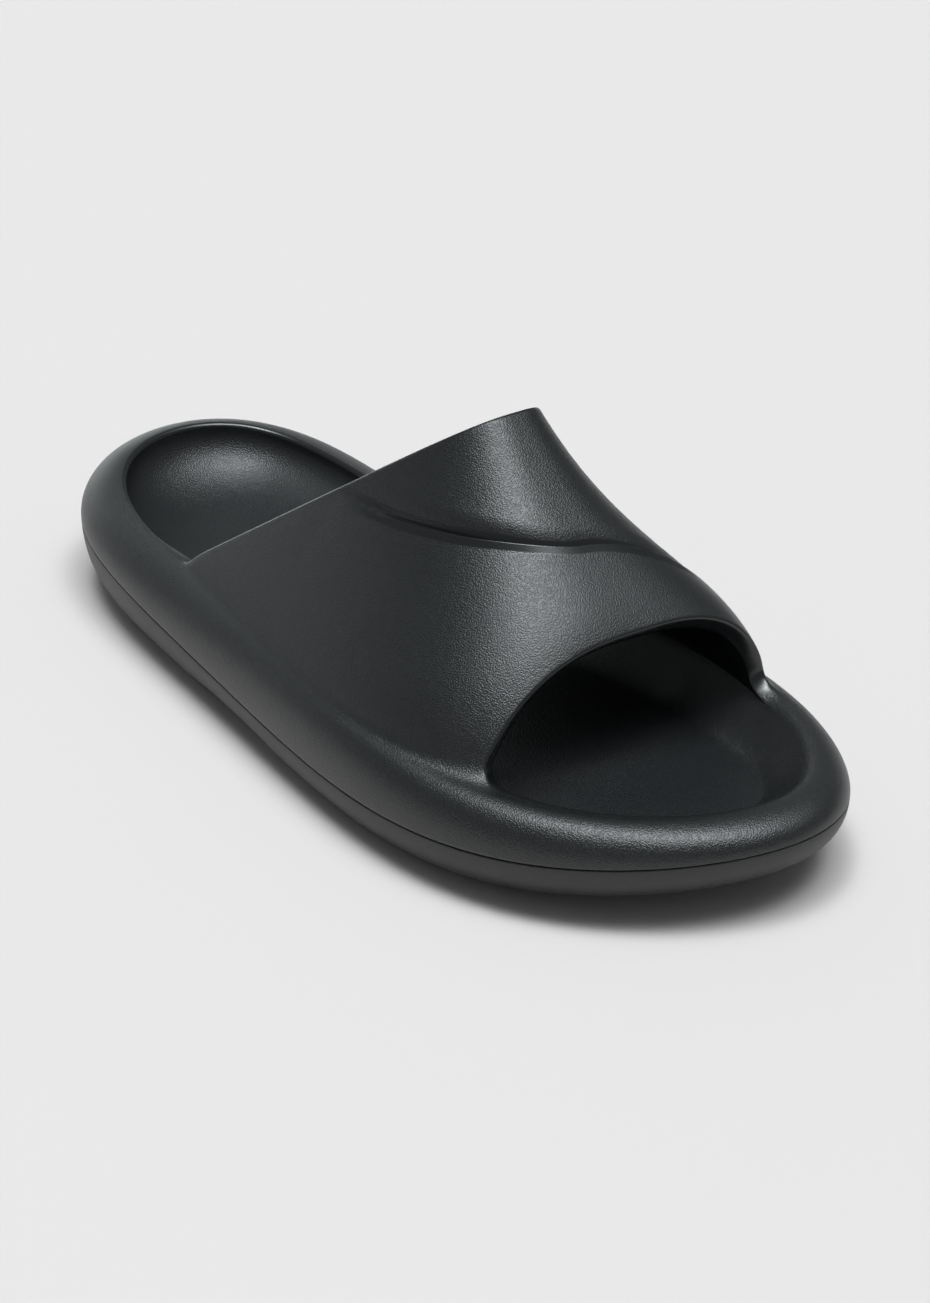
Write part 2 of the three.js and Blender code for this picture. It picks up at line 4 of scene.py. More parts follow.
import bpy
import numpy as np
from bpy.props import FloatProperty, FloatVectorProperty, PointerProperty
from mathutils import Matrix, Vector


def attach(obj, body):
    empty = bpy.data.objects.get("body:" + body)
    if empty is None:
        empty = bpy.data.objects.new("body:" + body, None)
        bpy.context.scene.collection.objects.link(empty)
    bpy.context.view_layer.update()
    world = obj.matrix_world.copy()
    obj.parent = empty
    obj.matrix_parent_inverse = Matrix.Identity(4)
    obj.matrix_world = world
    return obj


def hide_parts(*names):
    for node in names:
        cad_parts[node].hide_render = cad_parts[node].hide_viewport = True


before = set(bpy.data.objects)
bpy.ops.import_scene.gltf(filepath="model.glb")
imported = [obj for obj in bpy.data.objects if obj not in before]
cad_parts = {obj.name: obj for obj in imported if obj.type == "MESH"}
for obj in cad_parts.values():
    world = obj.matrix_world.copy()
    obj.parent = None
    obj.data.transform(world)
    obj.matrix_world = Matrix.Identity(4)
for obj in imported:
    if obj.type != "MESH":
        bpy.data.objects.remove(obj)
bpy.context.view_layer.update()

bl_info = {
    "name": "Slide sandal",
    "version": (1, 0, 0),
    "blender": (4, 5, 0),
    "location": "View3D > Sidebar > Slide",
    "description": "Dresses a moulded slide sandal: rim with strap, footbed, outsole and a plain studio",
    "category": "Mesh",
}

# Millimetres are used throughout, and become metres where a mesh is made.
# +X runs to the toe, +Y to the inner side of the foot, +Z up from the floor.
MM = 0.001

# Length of the sole and half of its width
SHOE_LENGTH = 290.0
HALF_WIDTH = 58.8

# Typical heights and breadths that the tables below take shares of
PARTING_HEIGHT = 15.0
RIM_RISE = 15.0
RIM_BREADTH = 11.0
DISH_DEPTH = 12.0
DISH_WALL = 20.0
STRAP_RISE = 63.0

# Rows run from heel to toe. Half and centre are shares of the half width, and the others of the size that
# they are named after, but roll goes from 0 to 1 where one soft curve takes the place of lip and dish wall.
SECTION_COLUMNS = ("half", "centre", "parting", "rise", "breadth", "depth", "wall", "roll")
SECTION_ROWS = [
    (1.433, 0.0, 1.576, 0.81, 1.29, 0.95, 1.3, 0.0),
    (1.007, 0.01, 1.295, 0.55, 1.25, 0.95, 1.4, 0.0),
    (0.734, -0.116, 1.03, 0.97, 1.1, 0.92, 1.2, 0.0),
    (0.747, -0.173, 0.838, 1.32, 0.93, 1.0, 1.0, 0.1),
    (1.029, -0.004, 0.787, 1.26, 0.78, 1.17, 0.9, 0.6),
    (1.345, -0.094, 0.953, 0.83, 0.72, 0.92, 0.6, 1.0),
    (1.271, 0.164, 1.425, 0.42, 0.81, 0.42, 0.45, 1.0),
]
SECTIONS = dict(zip(SECTION_COLUMNS, np.array(SECTION_ROWS).T))

# Rows run from the strap's rear edge to its front edge. Lateral, medial and sweep are shares of the length,
# rise of the strap's rise and lean of the half width. Flank and crown are the powers that square its bow.
STRAP_COLUMNS = ("lateral", "medial", "sweep", "rise", "lean", "flank", "crown")
STRAP_TABLE = [
    (0.29, 0.299, 0.299, 1.0, 0.238, 2.9, 0.75),
    (0.545, 0.557, 0.15, 0.59, 0.217, 2.84, 1.18),
    (0.82, 0.836, -0.017, 0.407, 0.133, 2.78, 1.62),
]
STRAP = dict(zip(STRAP_COLUMNS, np.array(STRAP_TABLE).T))

# Angle round the rim's bulge, in degrees, where the strap's outer face starts, for the same rows
FOOT = {"lateral": np.array([86.0, 60.0, 107.0]), "medial": np.array([86.0, 60.0, 88.0])}

# Turn round the toe, in radians, over which one side's foot angle passes into the other's
TOE_TURN = 0.8

# Corners of the crease's line on the strap, from the outer side to the inner side
CREASE_COLUMNS = ("row", "turn", "strength")
CREASE_TABLE = [
    (0.0, 0.305, 0.0),
    (0.5, 0.34, 2.0),
    (0.55, 0.58, 0.7),
    (1.0, 0.83, 0.0),
]
CREASE = dict(zip(CREASE_COLUMNS, np.array(CREASE_TABLE).T))

# Smooth skin at the crease: its share of the rolled edge, its border's breadth, and the strength for it
BARE_ROLL = 0.3
BARE_BORDER = 0.6
BARE_STRENGTH = 0.5

# Facet counts of the fine surfaces
HEEL_STATIONS = 60
STRAP_ROWS = 120
TOE_STATIONS = 60
ARCH_STEPS = 210
BULGE_STEPS = 22
EDGE_STEPS = 7
CREASE_POINTS = 80
WALL_STEPS = 18
FLOOR_COLUMNS = 48
PLUG_COLUMNS = 2
SOLE_STATIONS = 200
BROW_STEPS = 4
SIDE_STEPS = 14

# Samples by which the outline's width and the bow's length are measured
OUTLINE_SAMPLES = 360
BOW_SAMPLES = 1200

# Rows of facets crowd at the crease and lean over with it: turns between which they start and stop to lean,
# and the rows between which they stay
ROW_CROWDING = 0.68
LEAN_START = (0.08, 0.3)
LEAN_STOP = (0.98, 0.82)
LEAN_ROWS = (0.14, 0.86)

# Share of the half turn over which the strap grows out of its feet, the power that squares its edges, and
# the reach of its front corners
FOOT_BLEND = 0.16
EDGE_POWER = 0.55
FRONT_FLARE = 6.0

# How far and how often the corners near the strap's feet move to the mean of their neighbours
FILLET_PULL = 0.5
FILLET_ROUNDS = 14

# Most of the way to its focus that the dish's wall takes
DISH_ROOM = 0.85

# Gap between two pieces, and the round on both sides of the parting line
PIECE_GAP = 0.16
PARTING_ROUND = 0.4

# Arch support: middle and reach as shares of the length, and its step across as shares of the half width
ARCH_MIDDLE = 0.42
ARCH_REACH = 0.13
ARCH_STEP = (-0.1, 0.5)

# Toe ridge: share of the length on the axis, and its slant and bow across
RIDGE_MIDDLE = 0.765
RIDGE_SLANT = 0.035
RIDGE_BOW = 0.12

# Underside, as shares of the length: the heel's roll, the lifted waist with its blends, and the toe's spring
HEEL_ROLL_END = 0.12
WAIST_START = (0.34, 0.42)
WAIST_END = (0.55, 0.47)
SPRING_START = 0.63
SPRING_POWER = 2.1

# Tread: shares of the length between which the grooves lie, the slope of their sides, the least distance of
# a station from them, the plain border round the sole, and the room round the footbed's plug
TREAD_FIELDS = ((0.1, 0.33), (0.53, 0.88))
TREAD_DRAFT = 0.5
STATION_ROOM = 0.9
TREAD_BORDER = 5.0
RECESS_ROOM = 0.5


def smooth(value):
    """Rises from 0 to 1 with level ends: 3 t² - 2 t³ of the value held between 0 and 1."""
    t = np.clip(value, 0.0, 1.0)
    return t * t * (3.0 - 2.0 * t)


def ramp(value, limits):
    """Smooth rise from 0 at the first limit to 1 at the second, whichever is the larger."""
    return smooth((value - limits[0]) / (limits[1] - limits[0]))


def mix(a, b, t):
    """Straight blend from a at t = 0 to b at t = 1."""
    return a + (b - a) * t


def blend(table, column, t):
    """Bernstein blend of one column: the sum over its n + 1 rows of choose(n, i) t^i (1 - t)^(n - i) times
    the row's value."""
    rows = table[column]
    degree = len(rows) - 1
    t = np.asarray(t, dtype=float)
    return sum(math.comb(degree, i) * t**i * (1.0 - t) ** (degree - i) * row for i, row in enumerate(rows))


def along(u):
    """Share of the length at angle u round the outline: half of 1 - cos u."""
    return (1.0 - np.cos(u)) / 2.0


def angle_at(share):
    """Angle round the inner side of the outline at a share of the length."""
    return np.arccos(1.0 - 2.0 * np.clip(share, 0.0, 1.0))


def raw_outline(u):
    """Outline in plan: x runs with half of 1 - cos u, and y is the centre line plus sin u times the half
    width."""
    s = along(u)
    y = HALF_WIDTH * (blend(SECTIONS, "centre", s) + np.sin(u) * blend(SECTIONS, "half", s))
    return np.stack([(s - 0.5) * SHOE_LENGTH, y], axis=-1)


ROUND = raw_outline(np.linspace(0.0, 2.0 * math.pi, OUTLINE_SAMPLES + 1))[:, 1]
SIDE_SHIFT = (ROUND.max() + ROUND.min()) / 2.0


def place(u, inset, z):
    """Point at a distance inside the outline, measured square to it, at height z."""
    step = 1e-3
    tangent = raw_outline(u + step) - raw_outline(u - step)
    tangent /= np.linalg.norm(tangent, axis=-1, keepdims=True)
    at = raw_outline(u)
    x = at[..., 0] + tangent[..., 1] * inset
    y = at[..., 1] - SIDE_SHIFT - tangent[..., 0] * inset
    return np.stack(np.broadcast_arrays(x, y, z), axis=-1)


def parting_height(s):
    """Height of the line between rim and outsole at a share of the length."""
    return PARTING_HEIGHT * blend(SECTIONS, "parting", s)


def rim_rise(s):
    """Rise of the rim over the parting line at a share of the length."""
    return RIM_RISE * blend(SECTIONS, "rise", s)


def foot_angle(side, row):
    """Angle round the outline where a row of the strap stands on the given side."""
    u = angle_at(blend(STRAP, side, row))
    return 2.0 * math.pi - u if side == "lateral" else u


def by_side(u, values):
    """Takes the first of two values on the inner side of the outline and the second on the outer side."""
    return np.where(np.sin(u) < 0.0, values[1], values[0])


def strap_row(u):
    """Row of the strap over the outline at u: 0 at its rear edge and 1 at its front edge."""
    first = by_side(u, (STRAP["medial"][0], STRAP["lateral"][0]))
    last = by_side(u, (STRAP["medial"][2], STRAP["lateral"][2]))
    return (along(u) - first) / (last - first)


def crest(u, share=1.0):
    """Inset and height on the rim's bulge, a quarter-round: the breadth times 1 - cos and the rise times sin
    of a share of the strap's foot angle."""
    s = along(u)
    row = np.clip(strap_row(u), 0.0, 1.0)
    medial_share = smooth((math.pi - u) / (2.0 * TOE_TURN) + 0.5)
    foot = mix(blend(FOOT, "lateral", row), blend(FOOT, "medial", row), medial_share)
    angle = share * np.radians(foot)
    inset = RIM_BREADTH * blend(SECTIONS, "breadth", s) * (1.0 - np.cos(angle))
    return inset, parting_height(s) + rim_rise(s) * np.sin(angle)


def lip_breadth(u, shape):
    """Breadth of the lip: the strap's own foot beneath it, and smoothly the lip's own breadth with distance
    behind and in front of it."""
    row = strap_row(u)
    span = SHOE_LENGTH * by_side(u, (np.ptp(STRAP["medial"]), np.ptp(STRAP["lateral"])))
    outside = np.maximum(np.maximum(-row, row - 1.0), 0.0) * span
    own = np.where(row < 0.5, shape.heel_lip / MM, shape.toe_lip / MM)
    return mix(shape.strap_foot / MM, own, smooth(outside / (shape.lip_fade / MM)))


def dish_focus(u, shape):
    """Where the dish's lines meet: opposite on the centre line, and at heel and toe at one focus each."""
    s = np.clip(along(u), shape.heel_focus, shape.toe_focus)
    y = HALF_WIDTH * blend(SECTIONS, "centre", s) - SIDE_SHIFT
    return np.stack([(s - 0.5) * SHOE_LENGTH, y], axis=-1)


def dish_wall(u, shape):
    """Breadth of the dish's sloping wall, which stays short of the line's end."""
    start = place(u, seam_inset(u, shape), 0.0)[..., :2]
    room = np.linalg.norm(dish_focus(u, shape) - start, axis=-1)
    return np.minimum(DISH_WALL * blend(SECTIONS, "wall", along(u)), DISH_ROOM * room)


def floor_level(s):
    """Level of the dish's floor before the lip's drop: the rim's height less the dish's depth."""
    return parting_height(s) + rim_rise(s) - DISH_DEPTH * blend(SECTIONS, "depth", s)


def dish_depth(u, shape):
    """Depth of the dish below the lip: down to the floor's level at the place where the wall's foot lies."""
    start = place(u, seam_inset(u, shape), 0.0)[..., :2]
    way = dish_focus(u, shape) - start
    reach = dish_wall(u, shape) / np.linalg.norm(way, axis=-1)
    s = (start[..., 0] + way[..., 0] * reach) / SHOE_LENGTH + 0.5
    return crest(u)[1] - floor_level(s)


def inner_drop(u, distance, shape):
    """Drop from the crest to a point further in. In a bowl the lip is a quarter-round step and the dish's
    wall another, and in a roll one soft curve, 3 t² - 2 t³, runs from the crest to the floor."""
    lip = lip_breadth(u, shape)
    wall = dish_wall(u, shape)
    depth = dish_depth(u, shape)
    step = shape.lip_drop / MM * (1.0 - np.sqrt(1.0 - np.clip(distance / lip, 0.0, 1.0) ** 2))
    bowl = step + depth * np.sqrt(1.0 - (1.0 - np.clip((distance - lip) / wall, 0.0, 1.0)) ** 2)
    soft = (shape.lip_drop / MM + depth) * smooth(distance / (lip + wall))
    return mix(bowl, soft, blend(SECTIONS, "roll", along(u)))


def seam_inset(u, shape):
    """Inset of the line where rim and footbed meet: the crest's inset plus the lip."""
    return crest(u)[0] + lip_breadth(u, shape)


def seam(u, shape):
    """Inset and height of the line where rim and footbed meet."""
    return seam_inset(u, shape), crest(u)[1] - inner_drop(u, lip_breadth(u, shape), shape)


def front_corner(row, height):
    """Quarter-round by which the strap stands back from the tips of its feet: the flare times row² and the
    square root of 1 - (1 - height / flare)²."""
    open_share = 1.0 - np.clip(height / FRONT_FLARE, 0.0, 1.0)
    return FRONT_FLARE * row**2 * np.sqrt(1.0 - open_share**2)


def arch(row, turn):
    """Outer face of the strap: a bow between its two feet. Across runs with |cos|^(2/flank), and the rise,
    the forward sweep and the lean to the inner side run with sin^(2/crown) of the half turn."""
    ends = [place(foot_angle(side, row), *crest(foot_angle(side, row))) for side in ("lateral", "medial")]
    cosine = np.cos(math.pi * turn)
    across = (1.0 - np.sign(cosine) * np.abs(cosine) ** (2.0 / blend(STRAP, "flank", row))) / 2.0
    lift = np.abs(np.sin(math.pi * turn)) ** (2.0 / blend(STRAP, "crown", row))
    point = mix(ends[0], ends[1], across[..., None])
    height = STRAP_RISE * blend(STRAP, "rise", row) * lift
    point[..., 0] += SHOE_LENGTH * blend(STRAP, "sweep", row) * lift - front_corner(row, height)
    point[..., 1] += HALF_WIDTH * blend(STRAP, "lean", row) * lift
    point[..., 2] += height
    return point


def arch_normal(row, turn):
    """Outward normal of the bow: the cross product of its slopes along the row and along the turn."""
    step = 2e-3
    by_row = arch(np.minimum(1.0, row + step), turn) - arch(np.maximum(0.0, row - step), turn)
    by_turn = arch(row, np.minimum(1.0, turn + step)) - arch(row, np.maximum(0.0, turn - step))
    normal = np.cross(by_row, by_turn)
    return normal / np.linalg.norm(normal, axis=-1, keepdims=True)


def even_turns(steps):
    """Turns that divide the middle row of the bow into steps of one length."""
    fine = np.linspace(0.0, 1.0, BOW_SAMPLES + 1)
    line = arch(np.full_like(fine, 0.5), fine)
    run = np.concatenate([[0.0], np.cumsum(np.linalg.norm(np.diff(line, axis=0), axis=1))])
    return np.interp(np.linspace(0.0, run[-1], steps + 1), run, fine)


def crease_line():
    """Marks along the crease: row, turn, strength and place on the bow."""
    t = np.linspace(0.0, 1.0, CREASE_POINTS + 1)
    row, turn, strength = (blend(CREASE, column, t) for column in CREASE_COLUMNS)
    return row, turn, strength, arch(row, turn)


def crease_relief(points, row, turn, shape):
    """Relief of the crease over the plain bow, from the distance d to its line, and how plain its skin is.
    Behind the line the panel rolls down by depth times (1 - d / roll)². In front a short step rises to the
    ridge, and the panel falls from it in a straight bevel without grain, and then sinks back."""
    line_row, line_turn, line_strength, line = crease_line()
    start, run = line[:-1], np.diff(line, axis=0)
    flat = points.reshape(-1, 1, 3)
    share = np.clip(np.einsum("psk,sk->ps", flat - start, run) / np.sum(run * run, axis=1), 0.0, 1.0)
    gap = np.linalg.norm(flat - (start + share[..., None] * run), axis=2)
    nearest = gap.argmin(axis=1)
    pick = np.arange(len(nearest))
    distance = gap[pick, nearest].reshape(row.shape)
    mark = nearest + share[pick, nearest]
    strength = np.interp(mark, np.arange(CREASE_POINTS + 1), line_strength).reshape(row.shape)
    behind = (row < np.interp(turn, line_turn, line_row)) | (turn > line_turn[-1])
    depth, ridge, drop = shape.crease_depth / MM, shape.crease_ridge / MM, shape.crease_bevel_drop / MM
    roll, rise, bevel = shape.crease_roll / MM, shape.crease_rise / MM, shape.crease_bevel / MM
    rolled = -depth * np.clip(1.0 - distance / roll, 0.0, 1.0) ** 2
    stepped = (depth + ridge) * smooth(distance / rise) - depth
    fallen = drop * np.clip((distance - rise) / bevel, 0.0, 1.0)
    sunk = (ridge - drop) * smooth((distance - rise - bevel) / (shape.crease_fade / MM))
    height = strength * np.where(behind, rolled, stepped - fallen - sunk)
    edge = np.where(behind, BARE_ROLL * roll, rise + bevel)
    bare = smooth((edge - distance) / BARE_BORDER + 0.5) * smooth(strength / BARE_STRENGTH)
    return height, bare


def crowded_rows():
    """Rows from 0 to 1 that crowd together round the middle one: q - a sin(2 pi (q - 1/2)) / (2 pi)."""
    q = np.linspace(0.0, 1.0, STRAP_ROWS + 1)
    return q - ROW_CROWDING * np.sin(2.0 * math.pi * (q - 0.5)) / (2.0 * math.pi)


def leaning_rows(row, turn):
    """Leans the rows over so that the middle one follows the crease, fading out at both feet."""
    line_row, line_turn, _, _ = crease_line()
    follow = ramp(turn, LEAN_START) * ramp(turn, LEAN_STOP)
    tent = np.where(row < 0.5, row / 0.5, (1.0 - row) / 0.5)
    wanted = np.clip(np.interp(turn, line_turn, line_row), *LEAN_ROWS)
    return row + follow * tent * (wanted - 0.5)


def edge_round(outer, beside, inner, reach):
    """Rounded edge between the outer and inner face: a squared half-round, wall thick and reach deep, in
    which both cos and sin of the angle are raised to the edge's power."""
    middle, half = (outer + inner) / 2.0, (outer - inner) / 2.0
    out = outer - beside
    out /= np.linalg.norm(out, axis=-1, keepdims=True)
    angle = np.linspace(0.0, math.pi, EDGE_STEPS + 2)[1:-1]
    fall = np.sign(np.cos(angle)) * np.abs(np.cos(angle)) ** EDGE_POWER
    bulge = np.abs(np.sin(angle)) ** EDGE_POWER
    return (
        middle[:, None] + fall[None, :, None] * half[:, None]
        + (bulge[None, :] * reach[:, None])[..., None] * out[:, None]
    )


def bands(loops):
    """Quads between neighbouring closed loops of corners."""
    a, b = loops[:-1], loops[1:]
    quads = np.stack([a, np.roll(a, -1, axis=1), np.roll(b, -1, axis=1), b], axis=-1)
    return quads.reshape(-1, 4)


def round_stations():
    """Angles round the outline, as many on each side, with the strap's feet on stations of their own."""
    sides = []
    for side in ("medial", "lateral"):
        start, end = angle_at(STRAP[side][0]), angle_at(STRAP[side][2])
        heel = np.linspace(0.0, start, HEEL_STATIONS + 1)[:-1]
        strap = angle_at(blend(STRAP, side, crowded_rows()))
        toe = np.linspace(end, math.pi, TOE_STATIONS + 1)[1:]
        sides.append(np.concatenate([heel, strap, toe]))
    return np.concatenate([sides[0], 2.0 * math.pi - sides[1][-2:0:-1]])


class Corners:
    """Collects the corners of a piece and hands out their numbers."""

    def __init__(self):
        self.parts = []
        self.count = 0

    def add(self, points):
        """Adds an array of points and returns their numbers in the same layout."""
        flat = points.reshape(-1, 3)
        numbers = np.arange(self.count, self.count + len(flat)).reshape(points.shape[:-1])
        self.parts.append(flat)
        self.count += len(flat)
        return numbers

    def points(self):
        """All the corners so far, in the order of their numbers."""
        return np.concatenate(self.parts)


class Surface(NamedTuple):
    """Skin of a piece: its corners, its faces, 1 where a corner has no grain and 0 elsewhere, and the
    corners of the lines where shading breaks."""

    points: np.ndarray
    quads: np.ndarray
    triangles: np.ndarray
    bare: np.ndarray
    sharp: np.ndarray


def soften(points, quads, weight, rounds):
    """Moves corners towards the mean of their neighbours by their weight, a number of times."""
    pairs = np.concatenate([quads[:, [i, (i + 1) % 4]] for i in range(4)])
    one, other = pairs.T
    total = len(points)
    count = np.bincount(one, minlength=total) + np.bincount(other, minlength=total)
    pull = (weight * (count > 0))[:, None]
    for _ in range(rounds):
        near = [
            np.bincount(one, points[other, axis], total) + np.bincount(other, points[one, axis], total)
            for axis in range(3)
        ]
        mean = np.stack(near, axis=-1) / np.maximum(count, 1)[:, None]
        points = points + pull * (mean - points)
    return points


def make_piece(name, surface, material, node):
    """Makes the mesh object in metres without unused corners, and ties it to the frame for its node."""
    faces = np.concatenate([surface.quads.ravel(), surface.triangles.ravel()])
    used, numbers = np.unique(faces, return_inverse=True)
    quads = numbers[: surface.quads.size].reshape(-1, 4)
    triangles = numbers[surface.quads.size:].reshape(-1, 3)
    bare = surface.bare[used].astype(np.float32)
    mesh = bpy.data.meshes.new(name)
    mesh.from_pydata((surface.points[used] * MM).tolist(), [], quads.tolist() + triangles.tolist())
    mesh.polygons.foreach_set("use_smooth", np.ones(len(mesh.polygons), dtype=bool))
    mesh.attributes.new("bare", "FLOAT", "POINT").data.foreach_set("value", bare)
    mesh.update()
    ends = np.empty(2 * len(mesh.edges), dtype=np.int32)
    mesh.edges.foreach_get("vertices", ends)
    breaks = np.isin(used, surface.sharp)[ends.reshape(-1, 2)].all(axis=1)
    mesh.attributes.new("sharp_edge", "BOOLEAN", "EDGE").data.foreach_set("value", breaks)
    piece = bpy.data.objects.new(name, mesh)
    bpy.context.collection.objects.link(piece)
    piece.data.materials.append(material)
    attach(piece, "root")
    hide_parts(node)
    return piece


def rim_loops(stations, corners, shape):
    """Loops of corners round the rim: up its bulge, in over the lip, the seam, and the two feet of its
    underside."""
    floor = parting_height(along(stations)) + PIECE_GAP / 2.0
    bulge = []
    for share in np.linspace(0.0, 1.0, BULGE_STEPS + 1):
        inset, z = crest(stations, share)
        bulge.append(corners.add(place(stations, inset, np.maximum(z, floor + PARTING_ROUND / 2.0))))
    inset, crest_z = crest(stations)
    lip = []
    for step in range(1, EDGE_STEPS + 1):
        inward = math.sin(math.pi / 2.0 * step / (EDGE_STEPS + 1)) * lip_breadth(stations, shape)
        z = crest_z - inner_drop(stations, inward, shape)
        lip.append(corners.add(place(stations, inset + inward, z)))
    inset, z = seam(stations, shape)
    seam_line = corners.add(place(stations, inset, z))
    inner_foot = corners.add(place(stations, inset, floor))
    outer_foot = corners.add(place(stations, PARTING_ROUND, floor))
    return bulge, lip, seam_line, inner_foot, outer_foot


def strap_hoops(shape):
    """Hoops of the strap from foot to foot, each round its outer face, front edge, inner face and rear edge,
    and how plain their skin is. Wall and edges grow smoothly out of the feet."""
    turns = even_turns(ARCH_STEPS)[1:-1]
    turn, plain_row = np.meshgrid(turns, crowded_rows(), indexing="ij")
    row = leaning_rows(plain_row, turn)
    base = arch(row, turn)
    normal = arch_normal(row, turn)
    ends = smooth(np.minimum(turn, 1.0 - turn) / FOOT_BLEND)
    foot_u = np.where(turn < 0.5, foot_angle("lateral", row), foot_angle("medial", row))
    foot = base + place(foot_u, *seam(foot_u, shape)) - place(foot_u, *crest(foot_u))
    relief, bare = crease_relief(base, row, turn, shape)
    outer = base + (relief * ends)[..., None] * normal
    inner = mix(foot, base - shape.strap_wall / MM * normal, ends[..., None])
    reach = shape.edge_round / MM * smooth(np.minimum(turns, 1.0 - turns) / FOOT_BLEND)
    front = edge_round(outer[:, -1], outer[:, -2], inner[:, -1], reach)
    rear = edge_round(outer[:, 0], outer[:, 1], inner[:, 0], reach)
    hoops = np.concatenate([outer, front, inner[:, ::-1], rear[:, ::-1]], axis=1)
    skin = np.ones(hoops.shape[:-1])
    skin[:, : STRAP_ROWS + 1] = bare * ends
    return hoops, skin


def fillet_weight(points, feet, shape):
    """Pull on each corner beside the strap's feet: a bell over its distance from them."""
    near = np.full(len(points), np.inf)
    for spot in feet:
        near = np.minimum(near, np.linalg.norm(points - spot, axis=1))
    return FILLET_PULL * np.exp(-((near / (shape.foot_fillet / MM)) ** 2))


def upper_surface(shape):
    """Rim and strap as one closed skin. The ring runs through the outline's stations. Over the strap's feet
    its top is left open, and the strap's hoops cross from foot to foot."""
    stations = round_stations()
    corners = Corners()
    bulge, lip, seam_line, inner_foot, outer_foot = rim_loops(stations, corners, shape)

    count = len(stations)
    medial = HEEL_STATIONS + np.arange(STRAP_ROWS + 1)
    lateral = (count - medial) % count
    over_strap = np.zeros(count, dtype=bool)
    over_strap[medial[:-1]] = True
    over_strap[lateral[1:]] = True
    loops = np.array([*bulge, *lip, seam_line, inner_foot, outer_foot, bulge[0]])
    ring = bands(loops[::-1]).reshape(len(loops) - 1, count, 4)
    band = len(loops) - 2 - np.arange(len(loops) - 1)
    top = (band >= BULGE_STEPS) & (band <= BULGE_STEPS + EDGE_STEPS)
    ring = ring[~(top[:, None] & over_strap)]

    hoop_points, hoop_skin = strap_hoops(shape)
    hoops = corners.add(hoop_points)
    skin = np.zeros(corners.count)
    skin[hoops] = hoop_skin
    skin[np.array(lip)] = 1.0 - blend(SECTIONS, "roll", along(stations))

    def foot_hoop(feet):
        """The ring's own corners round the hole in which one foot of the strap stands."""
        front_lip = [edge[feet[-1]] for edge in lip]
        rear_lip = [edge[feet[0]] for edge in lip]
        return np.concatenate([bulge[-1][feet], front_lip, seam_line[feet[::-1]], rear_lip[::-1]])

    strap = bands(np.concatenate([[foot_hoop(lateral)], hoops, [foot_hoop(medial)]]))
    quads = np.concatenate([ring, strap])
    points = corners.points()
    feet = points[np.concatenate([bulge[-1][medial], bulge[-1][lateral]])]
    weight = fillet_weight(points, feet[::2], shape)
    weight[np.concatenate([seam_line, inner_foot, outer_foot])] = 0.0
    points = soften(points, quads, weight, FILLET_ROUNDS)
    return Surface(points, quads, np.empty((0, 3), dtype=int), skin, seam_line)


def dish(u, share, shape):
    """Points on the footbed's wall, on lines that run from the seam straight to the centre line, and at heel
    and toe to one focus. Their height is the crest's less the inner drop."""
    start = place(u, seam_inset(u, shape), 0.0)
    angle = share * math.pi / 2.0
    run = mix(1.0 - math.cos(angle), share, blend(SECTIONS, "roll", along(u)))
    reach = dish_wall(u, shape) * run
    way = dish_focus(u, shape) - start[..., :2]
    start[..., :2] += way / np.linalg.norm(way, axis=-1, keepdims=True) * reach[..., None]
    start[..., 2] = crest(u)[1] - inner_drop(u, lip_breadth(u, shape) + reach, shape)
    start[..., 2] += floor_lift(start, shape) * smooth(share)
    return start


def floor_lift(points, shape):
    """Arch support, a bell along the foot and a soft step across it, plus the toe ridge, a bell across its
    line, whose place along the foot is a parabola of the place across it."""
    s = points[..., 0] / SHOE_LENGTH + 0.5
    inner = points[..., 1] / HALF_WIDTH
    support = np.exp(-(((s - ARCH_MIDDLE) / ARCH_REACH) ** 2)) * ramp(inner, ARCH_STEP)
    ridge_line = RIDGE_MIDDLE + RIDGE_SLANT * inner - RIDGE_BOW * inner**2
    away = (s - ridge_line) * SHOE_LENGTH / (shape.toe_ridge_breadth / MM)
    return shape.arch_support / MM * support + shape.toe_ridge / MM * np.exp(-(away**2))


def floor_height(points, shape):
    """Floor inside the wall: its level below the lip's drop, plus the lift."""
    return floor_level(points[..., 0] / SHOE_LENGTH + 0.5) - shape.lip_drop / MM + floor_lift(points, shape)


def level(points):
    """Height of a floor that runs straight from side to side."""
    return points[..., 2]


def floor_faces(corners, loop, columns, height):
    """A floor inside a loop: strips from the outer to the inner side, a fan at heel and toe, facing up."""
    points = corners.points()
    half = len(loop) // 2
    outer_side, inner_side = loop[:half:-1], loop[1:half]
    share = np.linspace(0.0, 1.0, columns + 1)[1:-1]
    strip = mix(points[outer_side][:, None], points[inner_side][:, None], share[None, :, None])
    strip[..., 2] = height(strip)
    grid = np.concatenate([outer_side[:, None], corners.add(strip), inner_side[:, None]], axis=1)
    quads = np.stack([grid[:-1, :-1], grid[1:, :-1], grid[1:, 1:], grid[:-1, 1:]], axis=-1).reshape(-1, 4)
    heel = np.stack([np.full(columns, loop[0]), grid[0, :-1], grid[0, 1:]], axis=-1)
    toe = np.stack([grid[-1, :-1], np.full(columns, loop[half]), grid[-1, 1:]], axis=-1)
    return quads, np.concatenate([heel, toe])


def closed_surface(corners, sides, top, bottom, sharp):
    """Piece closed by a floor at its top and one at its bottom, which is turned to face down."""
    quads = np.concatenate([sides, top[0], bottom[0][:, ::-1]])
    triangles = np.concatenate([top[1], bottom[1][:, ::-1]])
    return Surface(corners.points(), quads, triangles, np.zeros(corners.count), sharp)


def recess_height(u, shape):
    """Floor of the outsole's recess: below the lower side of the dish by the footbed's thickness."""
    both = np.minimum(dish(u, 1.0, shape)[..., 2], dish(2.0 * math.pi - u, 1.0, shape)[..., 2])
    return both - shape.footbed_thickness / MM


